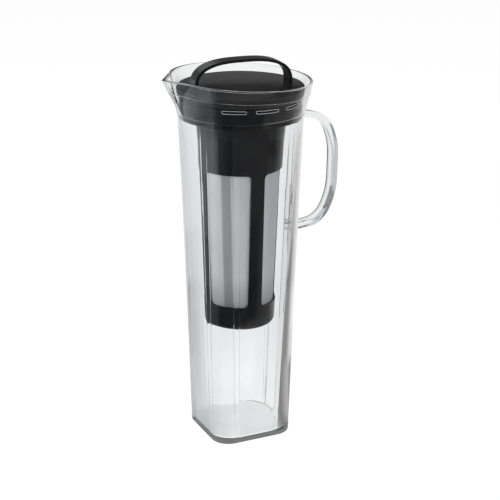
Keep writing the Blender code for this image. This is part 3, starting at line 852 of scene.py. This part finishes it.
def bent_grey(nodes, links, place, start):
    """How bright it is behind the object and to its sides, seen from a start in front of its axis."""
    turn = math.radians(BEHIND_DEG)
    along = dotted(nodes, links, place, (math.cos(turn), math.sin(turn), 0.0))
    along = math_node(nodes, links, "ADD", along, start)
    across = dotted(nodes, links, place, (math.sin(turn), -math.cos(turn), 0.0))
    angle = math_node(nodes, links, "ARCTAN2", across, along)
    off = map_range(nodes, links, angle, -math.pi, math.pi, 0.0, 1.0)
    return grey_ramp(nodes, links, off, [(turn_share(degrees), grey) for degrees, grey in BENT_LIGHT])


def make_floor():
    """White to the camera and grey to the lamps, with plans of shade for what is reflected and bent."""
    bpy.ops.mesh.primitive_circle_add(
        vertices=FLOOR_SIDES, radius=FLOOR_RADIUS, fill_type="NGON", location=(0.0, 0.0, -FLOOR_DROP)
    )
    floor = bpy.context.active_object
    floor.name = "studio_floor"
    material, nodes, links, shader = new_material("studio_floor")
    tune(shader, Base_Color=(FLOOR_GREY, FLOOR_GREY, FLOOR_GREY, 1.0))
    tune(shader, Roughness=FLOOR_ROUGHNESS, Specular_IOR_Level=FLOOR_SPECULAR)
    place = place_on(nodes)

    length = add_node(nodes, "ShaderNodeVectorMath", operation="LENGTH")
    links.new(place, length.inputs[0])
    distance = length.outputs["Value"]
    bearing = bearing_of(nodes, links, place)
    shine = shine_ramp(nodes, links, bearing, LOW_SHINE)
    for edge, stops in FLOOR_RINGS:
        beyond = map_range(nodes, links, distance, edge - RING_BLEND, edge + RING_BLEND, 0.0, 1.0)
        shine = mixed_colour(nodes, links, beyond, shine, shine_ramp(nodes, links, bearing, stops))
    reflected = nodes.new("ShaderNodeEmission")
    links.new(shine, reflected.inputs["Color"])
    bent = nodes.new("ShaderNodeEmission")
    links.new(bent_grey(nodes, links, place, BENT_FROM), bent.inputs["Color"])

    glow = nodes.new("ShaderNodeEmission")
    tune(glow, Color=WHITE, Strength=FLOOR_GLOW)
    lit = nodes.new("ShaderNodeBsdfDiffuse")
    tune(lit, Color=(FLOOR_PALE, FLOOR_PALE, FLOOR_PALE, 1.0))
    white = nodes.new("ShaderNodeAddShader")
    links.new(glow.outputs[0], white.inputs[0])
    links.new(lit.outputs[0], white.inputs[1])

    looks = (
        ("Is Glossy Ray", reflected.outputs[0]),
        ("Is Transmission Ray", bent.outputs[0]),
        ("Is Camera Ray", white.outputs[0]),
    )
    shown = seen_by_ray(nodes, links, shader.outputs[0], looks)
    links.new(shown, nodes["Material Output"].inputs["Surface"])
    floor.data.materials.append(material)


def make_world():
    """White to the camera and a soft fill for the shadows, with plans of shade as the floor has."""
    world = bpy.data.worlds.new("studio")
    bpy.context.scene.world = world
    world.use_nodes = True
    nodes, links = world.node_tree.nodes, world.node_tree.links
    fill = nodes["Background"]
    tune(fill, Color=WHITE, Strength=WORLD_FILL)
    direction = nodes.new("ShaderNodeTexCoord").outputs["Generated"]

    bearing = bearing_of(nodes, links, direction)
    height = dotted(nodes, links, direction, SKY_LEAN)
    lower = add_node(nodes, "ShaderNodeVectorMath", operation="SCALE")
    links.new(shine_ramp(nodes, links, bearing, SKY_SHINE), lower.inputs[0])
    links.new(map_range(nodes, links, height, *SKY_STEP, 1.0, SKY_ABOVE), lower.inputs["Scale"])
    high = map_range(nodes, links, height, *HIGH_STEP, 0.0, 1.0)
    upper = shine_ramp(nodes, links, bearing, HIGH_SHINE)
    reflected = nodes.new("ShaderNodeBackground")
    links.new(mixed_colour(nodes, links, high, lower.outputs[0], upper), reflected.inputs["Color"])
    bent = nodes.new("ShaderNodeBackground")
    links.new(bent_grey(nodes, links, direction, 0.0), bent.inputs["Color"])
    white = nodes.new("ShaderNodeBackground")
    tune(white, Color=WHITE, Strength=1.0)

    looks = (
        ("Is Glossy Ray", reflected.outputs[0]),
        ("Is Transmission Ray", bent.outputs[0]),
        ("Is Camera Ray", white.outputs[0]),
    )
    shown = seen_by_ray(nodes, links, fill.outputs[0], looks)
    links.new(shown, nodes["World Output"].inputs["Surface"])


def make_lamp(name, place, width, height, power):
    """A soft rectangular lamp, not itself seen in the plastic."""
    light = bpy.data.lights.new(name, "AREA")
    light.shape = "RECTANGLE"
    light.size = width
    light.size_y = height
    light.energy = power
    lamp = bpy.data.objects.new(name, light)
    bpy.context.scene.collection.objects.link(lamp)
    lamp.location = place
    lamp.rotation_euler = (Vector(place) - Vector(LAMP_TARGET)).to_track_quat("Z", "Y").to_euler()
    lamp.visible_glossy = False
    lamp.visible_transmission = False


def make_camera():
    camera = bpy.data.cameras.new("camera")
    camera.sensor_width = SENSOR_WIDTH_MM
    camera.lens = LENS_MM
    camera.clip_start = CLIP_START
    camera.clip_end = CLIP_END
    holder = bpy.data.objects.new("camera", camera)
    bpy.context.scene.collection.objects.link(holder)
    back = -Vector(CAMERA_FORWARD).normalized()
    right = Vector(CAMERA_UP).cross(back).normalized()
    up = back.cross(right)
    turn = Matrix((right, up, back)).transposed().to_4x4()
    holder.matrix_world = Matrix.Translation(CAMERA_PLACE) @ turn
    bpy.context.scene.camera = holder


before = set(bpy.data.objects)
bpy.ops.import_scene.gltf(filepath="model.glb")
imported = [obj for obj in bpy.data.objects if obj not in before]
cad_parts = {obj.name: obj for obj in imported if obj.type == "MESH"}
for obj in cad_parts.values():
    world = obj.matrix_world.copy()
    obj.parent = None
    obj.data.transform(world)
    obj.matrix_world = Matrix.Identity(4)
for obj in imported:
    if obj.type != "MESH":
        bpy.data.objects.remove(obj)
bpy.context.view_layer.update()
scene = bpy.context.scene
scene.view_settings.view_transform = "Standard"
scene.cycles.max_bounces = LIGHT_BOUNCES
scene.cycles.transmission_bounces = LIGHT_BOUNCES
scene.cycles.transparent_max_bounces = LIGHT_BOUNCES
scene.cycles.glossy_bounces = GLOSSY_BOUNCES

make_camera()
make_world()
make_floor()
for name, place, width, height, power in LAMPS:
    make_lamp(name, place, width, height, power)

make_carafe(clear_plastic())
gloss_black = moulded_plastic("gloss_black_plastic")
paint("filter_frame", gloss_black)
paint("pour_ring", gloss_black)
paint("lid_cap", lid_plastic())
paint("lid_handle", moulded_plastic("matte_black_plastic"))
paint("neck_seal", moulded_plastic("seal_rubber"))
mesh_material = filter_mesh_fabric()
for number in range(MESH_PANEL_COUNT):
    paint(f"filter_mesh_{number + 1}", mesh_material)
# The slots' rims get a pale painted highlight
highlight_rim_material = moulded_plastic("slot_rim_painted_highlight")
for number in range(SLOT_COUNT):
    make_slot_rim(number, highlight_rim_material)
